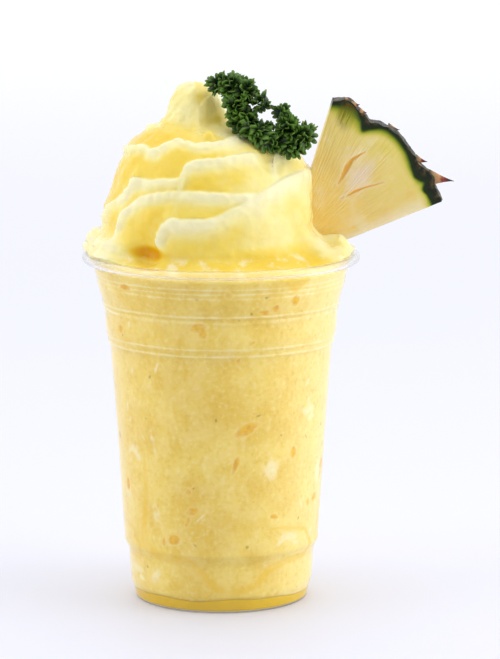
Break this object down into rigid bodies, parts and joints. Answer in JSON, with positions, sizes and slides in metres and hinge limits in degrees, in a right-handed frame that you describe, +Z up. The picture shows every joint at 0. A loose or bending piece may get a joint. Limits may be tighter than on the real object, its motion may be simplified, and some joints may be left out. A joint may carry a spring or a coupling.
{
  "type": "pineapple smoothie",
  "caption": "Pineapple smoothie piled in a swirl above a clear takeaway cup with a rolled rim, with a pineapple wedge and a parsley sprig stuck in it.",
  "frame": {"origin": "centre of the cup's underside, on the plane it stands on", "axes": "+Z up along the cup's axis, +X towards the pineapple wedge, -Y towards the front"},
  "size_m": [0.1323, 0.0978, 0.1887],
  "materials": {
    "clear_plastic": "clear thin formed plastic, smooth and glossy",
    "smoothie": "thick pale yellow fruit smoothie, wet and soft, near white on its crests and deeper yellow in its hollows",
    "settled_juice": "clear olive yellow juice that has run out of the smoothie",
    "pineapple": "moist fibrous yellow flesh with a dark green scaly rind",
    "parsley": "dark green curly leaf, lighter at the tips"
  },
  "bodies": {
    "root": {"cup": "clear_plastic", "smoothie": "smoothie", "settled_juice": "settled_juice", "pineapple_wedge": "pineapple", "parsley_sprig": "parsley"}
  },
  "joints": []
}
